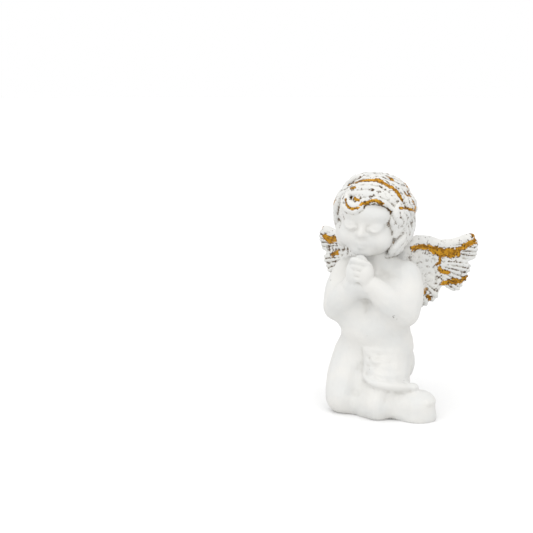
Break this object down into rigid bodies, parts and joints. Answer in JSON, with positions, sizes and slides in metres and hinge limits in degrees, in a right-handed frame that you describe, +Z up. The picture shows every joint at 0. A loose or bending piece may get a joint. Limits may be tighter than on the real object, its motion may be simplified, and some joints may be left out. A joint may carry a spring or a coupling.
{
  "type": "kneeling cherub figurine",
  "caption": "Small kneeling winged child with folded hands, curly hair and a loincloth, cast in one piece with a flat underside so that it stands by its own weight.",
  "frame": {"origin": "on the flat underside, below the middle of the trunk", "axes": "+Z up, -Y the way the figure faces, +X to the figure's left hand"},
  "size_m": [0.045, 0.0312, 0.0637],
  "materials": {
    "painted_resin": "matt white paint over cast resin, with gold paint rubbed into the hair and the wings"
  },
  "bodies": {
    "root": {"kneeling_cherub": "painted_resin"}
  },
  "joints": []
}
